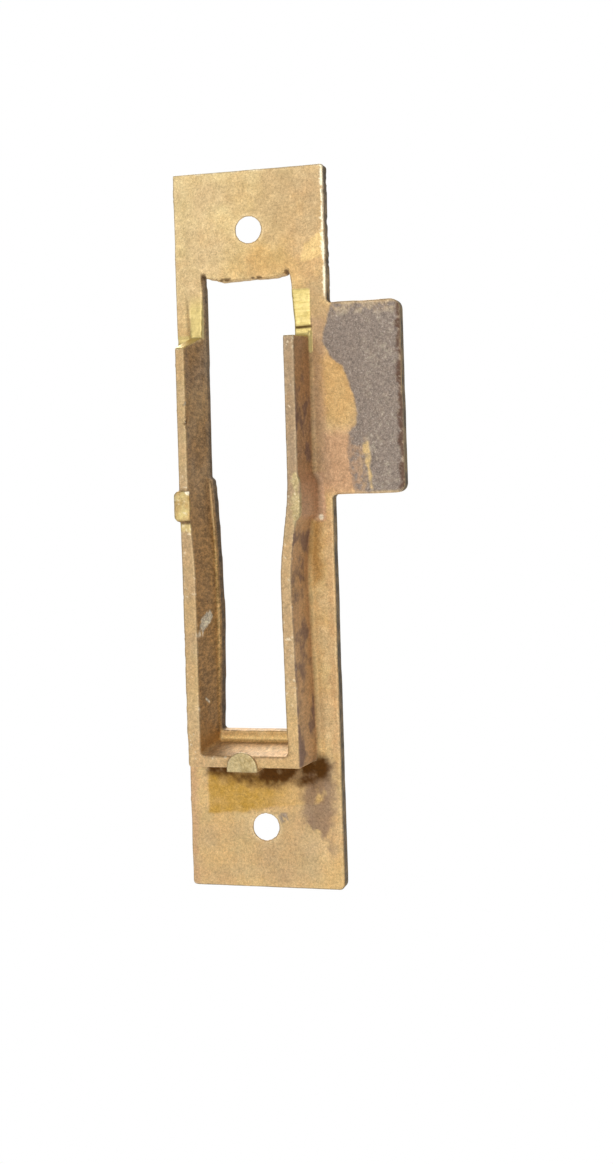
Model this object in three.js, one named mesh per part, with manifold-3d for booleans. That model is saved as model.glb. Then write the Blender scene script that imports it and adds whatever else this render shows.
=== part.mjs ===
// Cast brass strike (keeper) of a mortise lock, bench view from its jamb side.
//
// Frame, in millimetres: +X is the side that the lip leads out to, +Z is up, and +Y points out
// of the jamb. The plate's seating face lies on y = 0 and its show face on y = PLATE.thickness.
// The box walls stand off the seating face towards -Y, into the jamb. The origin is midway
// between the two screw holes, on the seating face.
//
// The casting is laid out as its named features. Each one is a closed solid that meets its
// neighbours face to face.

import * as THREE from 'three';
import { mergeVertices } from 'three/addons/utils/BufferGeometryUtils.js';
import Module from 'manifold-3d';

// ---------------------------------------------------------------- driving dimensions

const PLATE = {
  width: 28.2,
  height: 127,
  thickness: 3.2,
  bottomCornerRadius: 1,
  topRightCornerRadius: 0.6,
};

const LIP = {
  outerX: 27.1,
  topZ: 39.2,
  bottomZ: 5.4,
  cornerRadius: 1.7,
};

const SCREW = {
  spacing: 105.5,
  holeRadius: 2.38,
  headRadius: 4.8,
  headAngle: THREE.MathUtils.degToRad(82),
  segments: 32,
};

// The window is sawn out at its top, so its upper corners run over the line.
const WINDOW = {
  topZ: 44.05,
  bottomZ: -36.05,
  leftX: -8.9,
  rightX: 8,
  sawKerf: 0.9,
  overcutZ: 45.2,
  ledgeTopZ: 8.9,
  ledgeStep: 0.7,
  upperWaistX: -7.7,
  waistX: -7.3,
  waistZ: -15,
  lowerLeftX: -7.9,
  lowerRightX: 6.2,
  cornerRadius: 0.4,
};

// The three walls stand this far off the seating face.
const WALL_HEIGHT = 9;

// Both side walls step from a wide latch bay above to a narrower bolt bay below. Each face of a
// wall is given by its place above the step, just below it, and at the bottom.
const STEP = { topZ: 8.5, bottomZ: -9.5, segments: 8 };

const LEFT_WALL = {
  baseTopZ: 34.2,
  rimTopZ: 31.8,
  inner: {
    base: { top: -8.95, below: -7.9, bottom: -8.1 },
    rim: { top: -9.4, below: -8.5, bottom: -8.5 },
  },
  outer: {
    base: { top: -11.4, below: -11.1, bottom: -11.1 },
    rim: { top: -11.2, below: -11, bottom: -11 },
  },
};

const RIGHT_WALL = {
  baseTopZ: 33.4,
  rimTopZ: 33,
  inner: {
    base: { top: 8.05, below: 6.1, bottom: 6.7 },
    rim: { top: 8.45, below: 6.75, bottom: 7.05 },
  },
  outer: {
    base: { top: 10.6, below: 9.2, bottom: 9.9 },
    rim: { top: 10.5, below: 8.75, bottom: 9.4 },
  },
};

const BOTTOM_WALL = {
  topZ: -36.4,
  baseInnerZ: -37.6,
  rimInnerZ: -38.8,
  outerZ: -40.9,
};

// Stubs of the casting's gates, filed flat.
const LEFT_BOSS = {
  outerX: -12.05,
  seatX: -10.1,
  capX: -8.9,
  topZ: 7,
  bottomZ: 1.2,
  height: 9.5,
  chamfer: 0.5,
};

const RIGHT_BOSS = {
  seatX: 9.4,
  rimX: 11.1,
  baseX: 11.6,
  topZ: 8.6,
  bottomZ: 1.6,
  height: 9.2,
};

const BOTTOM_BOSS = {
  centreX: -1,
  flatZ: -41.55,
  topZ: -38.05,
  radius: 2.8,
  height: 9.5,
  segments: 16,
};

// What is left of the side walls above the saw cuts.
const LEFT_ROOT = {
  outerX: -11.4,
  innerX: -8.95,
  topZ: 41.7,
  bottomZ: 34.25,
  height: 0.9,
};

const RIGHT_ROOT = {
  innerX: 8.1,
  outerX: 11,
  topZ: 41.4,
  bottomZ: 33.9,
  height: 0.5,
};

// How far a cutting solid runs past the face that it opens.
const OVERCUT = 1;

// Corners of a mesh closer together than this are the same corner.
const WELD_DISTANCE = 1e-5;

// Straight pieces to a rounded corner.
const CORNER_SEGMENTS = 6;

// ---------------------------------------------------------------- solids by boolean

const wasm = await Module();
wasm.setup();

function toManifold(geometry) {
  const bare = geometry.clone();
  bare.deleteAttribute('normal');
  bare.deleteAttribute('uv');
  const merged = mergeVertices(bare, WELD_DISTANCE);
  return new wasm.Manifold(new wasm.Mesh({
    numProp: 3,
    vertProperties: new Float32Array(merged.attributes.position.array),
    triVerts: new Uint32Array(merged.index.array),
  }));
}

function toGeometry(solid) {
  const mesh = solid.getMesh();
  const geometry = new THREE.BufferGeometry();
  geometry.setAttribute('position', new THREE.BufferAttribute(mesh.vertProperties, 3));
  geometry.setIndex(new THREE.BufferAttribute(mesh.triVerts, 1));
  return geometry;
}

function cut(geometry, ...tools) {
  let solid = toManifold(geometry);
  for (const tool of tools) {
    solid = solid.subtract(toManifold(tool));
  }
  return toGeometry(solid);
}

function join(...geometries) {
  let solid = toManifold(geometries[0]);
  for (const geometry of geometries.slice(1)) {
    solid = solid.add(toManifold(geometry));
  }
  return toGeometry(solid);
}

// ---------------------------------------------------------------- shapes

// Extrudes an outline drawn in X and Z from one height along Y back to another.
function prism(shape, frontY, backY, curveSegments = CORNER_SEGMENTS) {
  const geometry = new THREE.ExtrudeGeometry(shape, {
    depth: frontY - backY,
    bevelEnabled: false,
    curveSegments,
  });
  geometry.rotateX(Math.PI / 2);
  geometry.translate(0, frontY, 0);
  return geometry;
}

function block(minX, maxX, minY, maxY, minZ, maxZ) {
  const geometry = new THREE.BoxGeometry(maxX - minX, maxY - minY, maxZ - minZ);
  geometry.translate((minX + maxX) / 2, (minY + maxY) / 2, (minZ + maxZ) / 2);
  return geometry;
}

// A wall with draft: the outline on the seating face is carried to the matching outline at the
// rim. The two lists of points run in the same order.
function draftedWall(baseOutline, rimOutline) {
  const geometry = prism(new THREE.Shape(baseOutline), 0, -WALL_HEIGHT);
  const position = geometry.attributes.position;
  for (let i = 0; i < position.count; i += 1) {
    if (position.getY(i) < -WALL_HEIGHT / 2) {
      const match = nearest(baseOutline, position.getX(i), position.getZ(i));
      position.setXYZ(i, rimOutline[match].x, -WALL_HEIGHT, rimOutline[match].y);
    }
  }
  return geometry;
}

function nearest(points, x, z) {
  const distances = points.map((point) => Math.hypot(point.x - x, point.y - z));
  return distances.indexOf(Math.min(...distances));
}

// One face of a side wall, from the top down: straight, through the step, and straight again.
function steppedFace(face, topZ) {
  const middleZ = (STEP.topZ + STEP.bottomZ) / 2;
  const path = new THREE.Path();
  path.moveTo(face.top, topZ);
  path.lineTo(face.top, STEP.topZ);
  path.bezierCurveTo(face.top, middleZ, face.below, middleZ, face.below, STEP.bottomZ);
  path.lineTo(face.bottom, BOTTOM_WALL.topZ);
  return path.getPoints(STEP.segments);
}

function sideWall(wall) {
  const outline = (level, topZ) => [
    ...steppedFace(wall.inner[level], topZ),
    ...steppedFace(wall.outer[level], topZ).reverse(),
  ];
  return draftedWall(outline('base', wall.baseTopZ), outline('rim', wall.rimTopZ));
}

// ---------------------------------------------------------------- features

function strikePlate() {
  const halfWidth = PLATE.width / 2;
  const halfHeight = PLATE.height / 2;
  const bottomRadius = PLATE.bottomCornerRadius;
  const topRadius = PLATE.topRightCornerRadius;
  const outline = new THREE.Shape();
  outline.moveTo(-halfWidth, halfHeight);
  outline.lineTo(-halfWidth, -halfHeight + bottomRadius);
  outline.quadraticCurveTo(-halfWidth, -halfHeight, -halfWidth + bottomRadius, -halfHeight);
  outline.lineTo(halfWidth - bottomRadius, -halfHeight);
  outline.quadraticCurveTo(halfWidth, -halfHeight, halfWidth, -halfHeight + bottomRadius);
  outline.lineTo(halfWidth, halfHeight - topRadius);
  outline.quadraticCurveTo(halfWidth, halfHeight, halfWidth - topRadius, halfHeight);
  outline.holes.push(windowOutline());
  for (const side of [-1, 1]) {
    const hole = new THREE.Path();
    hole.absarc(0, side * SCREW.spacing / 2, SCREW.holeRadius, 0, 2 * Math.PI);
    outline.holes.push(hole);
  }
  const plate = prism(outline, PLATE.thickness, 0, SCREW.segments / 2);
  return cut(plate, countersink(-1), countersink(1));
}

function windowOutline() {
  const w = WINDOW;
  const path = new THREE.Path();
  path.moveTo(w.leftX, w.topZ);
  path.lineTo(w.leftX, w.ledgeTopZ);
  path.lineTo(w.leftX + w.ledgeStep, w.ledgeTopZ - w.ledgeStep / 2);
  path.splineThru([
    new THREE.Vector2(w.upperWaistX, 0),
    new THREE.Vector2(w.waistX, w.waistZ),
    new THREE.Vector2(w.lowerLeftX, w.bottomZ + w.cornerRadius),
  ]);
  path.lineTo(w.lowerLeftX + w.cornerRadius, w.bottomZ);
  path.lineTo(w.lowerRightX - w.cornerRadius, w.bottomZ);
  path.lineTo(w.lowerRightX, w.bottomZ + w.cornerRadius);
  path.lineTo(RIGHT_WALL.inner.base.below - w.ledgeStep / 2, STEP.bottomZ);
  path.lineTo(w.rightX, STEP.topZ);
  path.lineTo(w.rightX, LIP.topZ);
  path.lineTo(w.rightX - w.sawKerf / 2, w.overcutZ);
  path.lineTo(w.rightX - 2 * w.sawKerf, w.overcutZ);
  path.lineTo(w.rightX - 3 * w.sawKerf, w.topZ);
  path.lineTo(w.leftX + 2 * w.sawKerf, w.topZ);
  path.lineTo(w.leftX + w.sawKerf, w.overcutZ);
  path.lineTo(w.leftX + w.sawKerf / 4, w.overcutZ);
  return path;
}

// The part of a countersink outside the plain hole, as a ring about the screw's axis.
function countersink(side) {
  const slope = Math.tan(SCREW.headAngle / 2);
  const depth = (SCREW.headRadius - SCREW.holeRadius) / slope;
  const coreRadius = SCREW.holeRadius / 2;
  const front = PLATE.thickness;
  const profile = [
    new THREE.Vector2(coreRadius, front - depth),
    new THREE.Vector2(SCREW.holeRadius, front - depth),
    new THREE.Vector2(SCREW.headRadius, front),
    new THREE.Vector2(SCREW.headRadius, front + OVERCUT),
    new THREE.Vector2(coreRadius, front + OVERCUT),
    new THREE.Vector2(coreRadius, front - depth),
  ];
  const ring = new THREE.LatheGeometry(profile, SCREW.segments);
  ring.translate(0, 0, side * SCREW.spacing / 2);
  return ring;
}

function latchLip() {
  const plateEdge = PLATE.width / 2;
  const { outerX, topZ, bottomZ, cornerRadius } = LIP;
  const outline = new THREE.Shape();
  outline.moveTo(plateEdge, bottomZ);
  outline.lineTo(outerX - cornerRadius, bottomZ);
  outline.absarc(outerX - cornerRadius, bottomZ + cornerRadius, cornerRadius, -Math.PI / 2, 0);
  outline.lineTo(outerX, topZ - cornerRadius);
  outline.absarc(outerX - cornerRadius, topZ - cornerRadius, cornerRadius, 0, Math.PI / 2);
  outline.lineTo(plateEdge, topZ);
  return prism(outline, PLATE.thickness, 0);
}

// The notch leaves a flat seat in the wall's outer side for the boss.
function leftBoxWall() {
  const { outerX, seatX, topZ, bottomZ } = LEFT_BOSS;
  const seat = block(
    outerX - OVERCUT, seatX,
    -WALL_HEIGHT - OVERCUT, OVERCUT,
    bottomZ, topZ,
  );
  return cut(sideWall(LEFT_WALL), seat);
}

function rightBoxWall() {
  const { seatX, baseX, topZ, bottomZ } = RIGHT_BOSS;
  const seat = block(
    seatX, baseX + OVERCUT,
    -WALL_HEIGHT - OVERCUT, OVERCUT,
    bottomZ, topZ,
  );
  return cut(sideWall(RIGHT_WALL), seat);
}

// The bottom wall takes in both corners, up to the level plane where the side walls end.
function bottomBoxWall() {
  const { topZ, baseInnerZ, rimInnerZ, outerZ } = BOTTOM_WALL;
  const outline = (level, innerZ) => [
    new THREE.Vector2(LEFT_WALL.inner[level].bottom, topZ),
    new THREE.Vector2(LEFT_WALL.inner[level].bottom, innerZ),
    new THREE.Vector2(RIGHT_WALL.inner[level].bottom, innerZ),
    new THREE.Vector2(RIGHT_WALL.inner[level].bottom, topZ),
    new THREE.Vector2(RIGHT_WALL.outer[level].bottom, topZ),
    new THREE.Vector2(RIGHT_WALL.outer[level].bottom, outerZ),
    new THREE.Vector2(LEFT_WALL.outer[level].bottom, outerZ),
    new THREE.Vector2(LEFT_WALL.outer[level].bottom, topZ),
  ];
  return draftedWall(outline('base', baseInnerZ), outline('rim', rimInnerZ));
}

// A pillar on the wall's outer side with a chamfered cap that covers the rim.
function leftSideBoss() {
  const { outerX, seatX, capX, topZ, bottomZ, height, chamfer } = LEFT_BOSS;
  const pillar = new THREE.Shape();
  pillar.moveTo(seatX, topZ);
  pillar.lineTo(seatX, bottomZ);
  pillar.lineTo(outerX + chamfer, bottomZ);
  pillar.lineTo(outerX, bottomZ + chamfer);
  pillar.lineTo(outerX, topZ - chamfer);
  pillar.lineTo(outerX + chamfer, topZ);
  const cap = block(seatX - chamfer, capX, -height, -WALL_HEIGHT, bottomZ, topZ);
  return join(prism(pillar, 0, -height), cap);
}

// A pillar whose outer side has draft.
function rightSideBoss() {
  const { seatX, rimX, baseX, topZ, bottomZ, height } = RIGHT_BOSS;
  const profile = new THREE.Shape([
    new THREE.Vector2(seatX, 0),
    new THREE.Vector2(baseX, 0),
    new THREE.Vector2(rimX, -height),
    new THREE.Vector2(seatX, -height),
  ]);
  const geometry = new THREE.ExtrudeGeometry(profile, {
    depth: topZ - bottomZ,
    bevelEnabled: false,
  });
  geometry.translate(0, 0, bottomZ);
  return geometry;
}

// A half-round cap on the rim with a rib under its flat side.
function bottomBoss() {
  const { centreX, flatZ, topZ, radius, height, segments } = BOTTOM_BOSS;
  const arcCentreZ = topZ - radius;
  const cap = new THREE.Shape();
  cap.moveTo(centreX + radius, flatZ);
  cap.absarc(centreX, arcCentreZ, radius, 0, Math.PI);
  cap.lineTo(centreX - radius, flatZ);
  const capSolid = prism(cap, -WALL_HEIGHT, -height, segments);
  const rib = block(
    centreX - radius, centreX + radius,
    -height, 0,
    flatZ, BOTTOM_WALL.outerZ,
  );
  return join(capSolid, rib);
}

// A wedge that runs out to nothing at its top.
function leftSawnWallRoot() {
  const { outerX, innerX, topZ, bottomZ, height } = LEFT_ROOT;
  const profile = new THREE.Shape([
    new THREE.Vector2(0, topZ),
    new THREE.Vector2(-height, bottomZ),
    new THREE.Vector2(0, bottomZ),
  ]);
  const geometry = new THREE.ExtrudeGeometry(profile, {
    depth: innerX - outerX,
    bevelEnabled: false,
  });
  // Drawn with Y across and Z up, then turned so that its depth runs along +X.
  const turn = new THREE.Matrix4().makeBasis(
    new THREE.Vector3(0, 1, 0),
    new THREE.Vector3(0, 0, 1),
    new THREE.Vector3(1, 0, 0),
  );
  geometry.applyMatrix4(turn);
  geometry.translate(outerX, 0, 0);
  return geometry;
}

function rightSawnWallRoot() {
  const { innerX, outerX, topZ, bottomZ, height } = RIGHT_ROOT;
  return block(innerX, outerX, -height, 0, bottomZ, topZ);
}

// ---------------------------------------------------------------- finishes and the group

const AGED_BRASS = { color: 0xb08a55, roughness: 0.55, metalness: 0.85 };
const DARK_BRASS = { color: 0x6f5436, roughness: 0.65, metalness: 0.75 };
const OXIDISED_BRASS = { color: 0x83756b, roughness: 0.75, metalness: 0.55 };
const FILED_BRASS = { color: 0xd8bf62, roughness: 0.38, metalness: 0.95 };

const features = [
  ['strike_plate', strikePlate(), AGED_BRASS],
  ['latch_lip', latchLip(), OXIDISED_BRASS],
  ['left_box_wall', leftBoxWall(), DARK_BRASS],
  ['right_box_wall', rightBoxWall(), DARK_BRASS],
  ['bottom_box_wall', bottomBoxWall(), AGED_BRASS],
  ['left_side_boss', leftSideBoss(), FILED_BRASS],
  ['right_side_boss', rightSideBoss(), AGED_BRASS],
  ['bottom_boss', bottomBoss(), FILED_BRASS],
  ['left_sawn_wall_root', leftSawnWallRoot(), FILED_BRASS],
  ['right_sawn_wall_root', rightSawnWallRoot(), FILED_BRASS],
];

const group = new THREE.Group();
for (const [name, geometry, finish] of features) {
  const mesh = new THREE.Mesh(geometry, new THREE.MeshStandardMaterial(finish));
  mesh.name = name;
  group.add(mesh);
}

export default group;
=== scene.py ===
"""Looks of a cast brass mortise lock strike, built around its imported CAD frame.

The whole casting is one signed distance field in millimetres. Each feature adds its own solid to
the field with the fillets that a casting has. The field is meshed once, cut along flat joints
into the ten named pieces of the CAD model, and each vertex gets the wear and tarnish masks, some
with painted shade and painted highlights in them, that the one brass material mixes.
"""

import math

import bmesh
import bpy
import numpy as np
import openvdb
from mathutils import Matrix, Vector


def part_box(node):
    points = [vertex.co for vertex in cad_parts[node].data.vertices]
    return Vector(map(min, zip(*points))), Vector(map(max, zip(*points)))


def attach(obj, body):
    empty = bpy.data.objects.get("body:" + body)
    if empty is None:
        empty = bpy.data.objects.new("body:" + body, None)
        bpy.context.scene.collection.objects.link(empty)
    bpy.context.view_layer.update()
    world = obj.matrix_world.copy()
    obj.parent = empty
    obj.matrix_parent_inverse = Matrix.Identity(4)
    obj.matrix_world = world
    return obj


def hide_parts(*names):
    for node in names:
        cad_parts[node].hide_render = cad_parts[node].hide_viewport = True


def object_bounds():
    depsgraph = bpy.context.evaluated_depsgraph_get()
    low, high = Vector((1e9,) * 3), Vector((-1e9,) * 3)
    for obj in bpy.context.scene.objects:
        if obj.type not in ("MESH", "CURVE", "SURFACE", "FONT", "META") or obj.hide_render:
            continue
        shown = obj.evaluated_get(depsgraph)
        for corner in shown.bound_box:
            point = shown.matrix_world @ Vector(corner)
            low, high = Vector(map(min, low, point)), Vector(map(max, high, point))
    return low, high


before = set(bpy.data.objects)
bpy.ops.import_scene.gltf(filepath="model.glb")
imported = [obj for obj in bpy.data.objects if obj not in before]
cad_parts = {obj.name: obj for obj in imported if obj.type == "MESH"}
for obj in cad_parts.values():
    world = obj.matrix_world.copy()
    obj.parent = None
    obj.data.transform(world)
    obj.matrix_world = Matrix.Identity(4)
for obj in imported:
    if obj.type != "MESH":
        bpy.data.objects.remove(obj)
cad_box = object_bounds()

MM = 0.001
VOXEL = 0.22
MARGIN = 0.8
# The skin sits this far inside the CAD faces, so that its unevenness stays within them.
SKIN = 0.06


class Box:
    """The box of a CAD node, in millimetres."""

    def __init__(self, node):
        low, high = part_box(node)
        self.x0, self.y0, self.z0 = (value / MM for value in low)
        self.x1, self.y1, self.z1 = (value / MM for value in high)


PLATE = Box("strike_plate")
LIP = Box("latch_lip")
LEFT_WALL = Box("left_box_wall")
RIGHT_WALL = Box("right_box_wall")
BOTTOM_WALL = Box("bottom_box_wall")
LEFT_BOSS = Box("left_side_boss")
RIGHT_BOSS = Box("right_side_boss")
BOTTOM_BOSS = Box("bottom_boss")
LEFT_ROOT = Box("left_sawn_wall_root")
RIGHT_ROOT = Box("right_sawn_wall_root")

RIM_Y = LEFT_WALL.y0
WALL_HEIGHT = LEFT_WALL.y1 - LEFT_WALL.y0

SCREW_Z = 52.75
SCREW_RADIUS = 2.38
SCREW_HEAD_RADIUS = 4.8
SCREW_HEAD_ANGLE = 82
SCREW_HEAD_SLOPE = math.tan(math.radians(SCREW_HEAD_ANGLE / 2))

# Where the side walls step in from the latch bay to the bolt bay, and how far down that goes.
STEP_TOP_Z = 8.5
STEP_BOTTOM_Z = -9.5
BOLT_BAY_HEIGHT = 27


# ---- the grid and its noise

low_corner = np.array([value / MM - MARGIN for value in cad_box[0]])
high_corner = np.array([value / MM + MARGIN for value in cad_box[1]])
grid_counts = np.ceil((high_corner - low_corner) / VOXEL).astype(int) + 1


def axis_values(axis):
    shape = [1, 1, 1]
    shape[axis] = grid_counts[axis]
    values = low_corner[axis] + VOXEL * np.arange(grid_counts[axis])
    return values.astype(np.float32).reshape(shape)


GX, GY, GZ = (axis_values(axis) for axis in range(3))


def fade(t):
    return t * t * (3 - 2 * t)


def rise(value, width):
    """0 up to 0, and from there smoothly to 1 at the width."""
    return fade(np.clip(value / width, 0, 1))


def grid_noise(seed, cell, axes=(0, 1, 2)):
    """Smooth noise between -1 and 1 on the grid, with one random value per cell of its lattice."""
    coordinates = (GX, GY, GZ)
    places = {a: (coordinates[a].ravel() - low_corner[a]) / cell for a in axes}
    shape = [int(places[a][-1]) + 2 if a in axes else 1 for a in range(3)]
    field = np.random.default_rng(seed).uniform(-1, 1, shape).astype(np.float32)
    for a in sorted(axes, key=lambda axis: shape[axis]):
        lower = places[a].astype(int)
        weight_shape = [1, 1, 1]
        weight_shape[a] = -1
        weight = fade(places[a] - lower).astype(np.float32).reshape(weight_shape)
        field = np.take(field, lower, a) * (1 - weight) + np.take(field, lower + 1, a) * weight
    return field


# The points' lattice repeats after this many cells, and is turned so that it follows no edge.
LATTICE = 64
LATTICE_TURN = np.array(Matrix.Rotation(0.9, 3, Vector((0.5, 0.7, 0.4))))


def in_cell(values, lower, weight):
    """Mixes the values at the eight corners of each point's cell. The values repeat at their end."""
    total = np.zeros(len(lower))
    for corner in range(8):
        step = np.array([corner & 1, corner >> 1 & 1, corner >> 2 & 1])
        share = np.where(step, weight, 1 - weight).prod(1)
        x, y, z = ((lower + step) % values.shape).T
        total += share * values[x, y, z]
    return total


def point_noise(points, seed, cell):
    """The same kind of noise at any points."""
    place = points @ LATTICE_TURN / cell
    lower = np.floor(place).astype(int)
    lattice = np.random.default_rng(seed).uniform(-1, 1, (LATTICE,) * 3)
    return in_cell(lattice, lower, fade(place - lower))


def rough_noise(points, seed, cell):
    """Three octaves of it, still within about -1 to 1."""
    octaves = [point_noise(points, seed + 100 * k, cell / 2 ** k) / 2 ** k for k in range(3)]
    return sum(octaves) / 1.3


# ---- distance fields

def round_union(a, b, radius):
    corner = np.hypot(np.maximum(radius - a, 0), np.maximum(radius - b, 0))
    return np.maximum(np.minimum(a, b), radius) - corner


def round_overlap(a, b, radius):
    corner = np.hypot(np.maximum(radius + a, 0), np.maximum(radius + b, 0))
    return np.minimum(np.maximum(a, b), -radius) + corner


def between(value, low, high):
    return np.maximum(low - value, value - high)


CORNER_STEPS = 6


def rounded_outline(corners):
    """Points of a closed outline. Each corner is (x, z) or (x, z, radius)."""
    points = []
    for i, corner in enumerate(corners):
        here = Vector(corner[:2])
        radius = corner[2] if len(corner) > 2 else 0
        if not radius:
            points.append(tuple(here))
            continue
        before = (Vector(corners[i - 1][:2]) - here).normalized()
        after = (Vector(corners[(i + 1) % len(corners)][:2]) - here).normalized()
        half = before.angle(after) / 2
        centre = here + (before + after).normalized() * radius / math.sin(half)
        start = here + before * radius / math.tan(half)
        turn = (start - centre).angle_signed(here + after * radius / math.tan(half) - centre)
        for k in range(CORNER_STEPS + 1):
            arm = Matrix.Rotation(-turn * k / CORNER_STEPS, 2) @ (start - centre)
            points.append(tuple(centre + arm))
    return points


def polygon_distance(x, z, points):
    """Signed distance to a closed polygon in the XZ plane, negative inside."""
    nearest = np.full(np.broadcast_shapes(np.shape(x), np.shape(z)), 1e9, np.float32)
    inside = np.zeros(nearest.shape, bool)
    for (ax, az), (bx, bz) in zip(points, points[1:] + points[:1]):
        ex, ez = bx - ax, bz - az
        wx, wz = x - ax, z - az
        along = np.clip((wx * ex + wz * ez) / (ex * ex + ez * ez + 1e-12), 0, 1)
        nearest = np.minimum(nearest, np.hypot(wx - ex * along, wz - ez * along))
        if ez:
            crosses = ((az > z) != (bz > z)) & (wx < ex * wz / ez)
            inside ^= crosses
    return np.where(inside, -nearest, nearest)


def stepped_face(z, top, below, bottom):
    """Where a side wall's face stands in X: straight, through the step, and straight again."""
    step = rise(STEP_TOP_Z - z, STEP_TOP_Z - STEP_BOTTOM_Z)
    lower = below + (bottom - below) * np.clip((STEP_BOTTOM_Z - z) / BOLT_BAY_HEIGHT, 0, 1)
    return top + (lower - top) * step


def drafted(depth, foot, rim):
    """A face that leans from its line on the seating face to its line on the rim."""
    return foot + (rim - foot) * depth


# ---- the casting's features

LIP_CORNER = 1.7
NOTCH_CORNER = 0.6
PLATE_CORNER = 1
SHARP_CORNER = 0.15
SHOW_EDGE = 0.4
# The plate is chipped past this X and above this Z.
CHIPPED_X = 5
CHIPPED_Z = 38
CHIP_DEPTH = 0.18


def plate_and_lip():
    outline = rounded_outline([
        (PLATE.x0, PLATE.z1, SHARP_CORNER),
        (PLATE.x1, PLATE.z1, NOTCH_CORNER),
        (PLATE.x1, LIP.z1, NOTCH_CORNER),
        (LIP.x1, LIP.z1, LIP_CORNER),
        (LIP.x1, LIP.z0, LIP_CORNER),
        (PLATE.x1, LIP.z0, NOTCH_CORNER),
        (PLATE.x1, PLATE.z0, PLATE_CORNER),
        (PLATE.x0, PLATE.z0, PLATE_CORNER),
    ])
    sides = polygon_distance(GX, GZ, outline) + 0.05 + 0.05 * grid_noise(1, 4, (0, 2))
    sides = sides - 0.06 * rise(PLATE.y1 - GY, PLATE.y1) + 0.06
    # The upper right side is chipped, and its edge more worn than the others.
    upper_right = rise(GZ - CHIPPED_Z, 3) * (GX > CHIPPED_X)
    chips = np.clip(grid_noise(4, 1.1, (1, 2)) + 0.6 * grid_noise(5, 0.45, (1, 2)), 0, 1.2)
    sides = sides + CHIP_DEPTH * chips * upper_right
    worn_edge = 0.12 + 0.1 * upper_right
    back = round_overlap(sides, -GY, worn_edge.astype(np.float32))
    return round_overlap(back, GY - PLATE.y1, SHOW_EDGE)


SAWN_ABOVE_Z = 43
# Clockwise from the step in its left side, as (x, z) or (x, z, radius).
WINDOW_OUTLINE = [
    (-8.95, 9.2), (-8.35, 8.6, 0.3), (-8, 5), (-7.55, -6), (-7.3, -15), (-7.45, -23),
    (-7.9, -35.75, 0.5), (6.2, -35.75, 0.5), (5.75, -9.5), (8, 8.5), (8.02, 36), (7.55, 42.5),
    (7.35, 44.2), (7.05, 45, 0.2), (6.7, 45, 0.15), (6.45, 44.5), (4.2, 43.95), (0.6, 44),
    (-3, 43.85), (-5.6, 43.75), (-7, 44.25), (-8.15, 44.45), (-8.4, 45, 0.15),
    (-8.85, 45.1, 0.15), (-9, 44.4), (-8.85, 42.8),
]


def window():
    """The opening through the plate. Its upper edge is sawn, so it wanders along the cut."""
    sawn = np.clip((GZ - SAWN_ABOVE_Z) / 1.5, 0, 1)
    wander = grid_noise(2, 0.7) * 0.11 * sawn + 0.03 * grid_noise(3, 2.5, (0, 2))
    return polygon_distance(GX, GZ, rounded_outline(WINDOW_OUTLINE)) + wander


# The side walls' faces at their foot and at their rim, each by where it stands in X in the latch
# bay, just below the step and at the bottom.
RIGHT_OUTER_FOOT = (10.6, 9.2, 9.9)
RIGHT_OUTER = (RIGHT_OUTER_FOOT, (10.5, 8.75, 9.4))
RIGHT_INNER = ((8.05, 6.1, 6.7), (8.45, 6.75, 7.05))
LEFT_OUTER = ((-11.4, -11.1, -11.1), (-11.2, -11, -11))
LEFT_INNER = ((-8.95, -7.9, -8.1), (-9.4, -8.5, -8.5))
# The bottom wall's inner face at its foot and rim, and the left wall's sawn end at the rim, in Z.
BOTTOM_INNER = (-37.6, -38.8)
LEFT_RIM_TOP = 31.8


def wall_face(depth, foot, rim):
    return drafted(depth, stepped_face(GZ, *foot), stepped_face(GZ, *rim))


def box_walls():
    """The three walls in one, a drafted outer skin less a drafted inner one, and the bay inside."""
    depth = np.clip(-GY / WALL_HEIGHT, 0, 1)
    outer = between(GX, wall_face(depth, *LEFT_OUTER), wall_face(depth, *RIGHT_OUTER))
    outer = round_overlap(outer, BOTTOM_WALL.z0 - GZ, 0.5)
    inner = between(GX, wall_face(depth, *LEFT_INNER), wall_face(depth, *RIGHT_INNER))
    inner = round_overlap(inner, drafted(depth, *BOTTOM_INNER) - GZ, 0.7)
    walls = round_overlap(outer, -inner, 0.1)
    rim_radius = 0.22 + 0.4 * rise(-34 - GZ, 3)
    walls = round_overlap(walls, RIM_Y - GY, rim_radius)
    left_top = drafted(depth, LEFT_WALL.z1, LEFT_RIM_TOP)
    right_top = RIGHT_WALL.z1 - 0.4 * depth
    top = GZ - np.where(GX < 0, left_top, right_top)
    walls = round_overlap(walls, top, 0.12)
    return np.maximum(walls, GY - 1), inner


def left_side_boss():
    """A pillar with its outer corners chamfered, and a cap that covers the rim."""
    b = LEFT_BOSS
    outline = [
        (b.x0 + 0.55, b.z1 - 0.1), (b.x0, b.z1 - 0.7), (b.x0, b.z0 + 1), (b.x0 + 0.6, b.z0 + 0.35),
        (b.x1 - 0.3, b.z0 + 0.3), (b.x1, b.z0 + 0.6), (b.x1, b.z1),
    ]
    wide = polygon_distance(GX, GZ, outline)
    narrow = np.maximum(wide, GX + 10)
    pillar = np.where(GY < RIM_Y - 0.05, wide, narrow)
    bevel = (b.z0 + 0.1 - GZ) * 0.8 - (GY - b.y0) * 0.6 + 0.35
    face = round_overlap(pillar, b.y0 - GY, 0.3)
    return np.maximum(np.maximum(face, bevel), GY - 1)


def right_side_boss():
    b = RIGHT_BOSS
    depth = np.clip(-GY / WALL_HEIGHT, 0, 1)
    outer = GX - (b.x1 - 0.9 * depth)
    solid = round_overlap(outer, between(GZ, b.z0, b.z1), 1.2)
    solid = np.maximum(solid, b.x0 - GX)
    solid = round_overlap(solid, RIM_Y + 0.02 - GY, 0.3)
    return np.maximum(solid, GY - 1)


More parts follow.
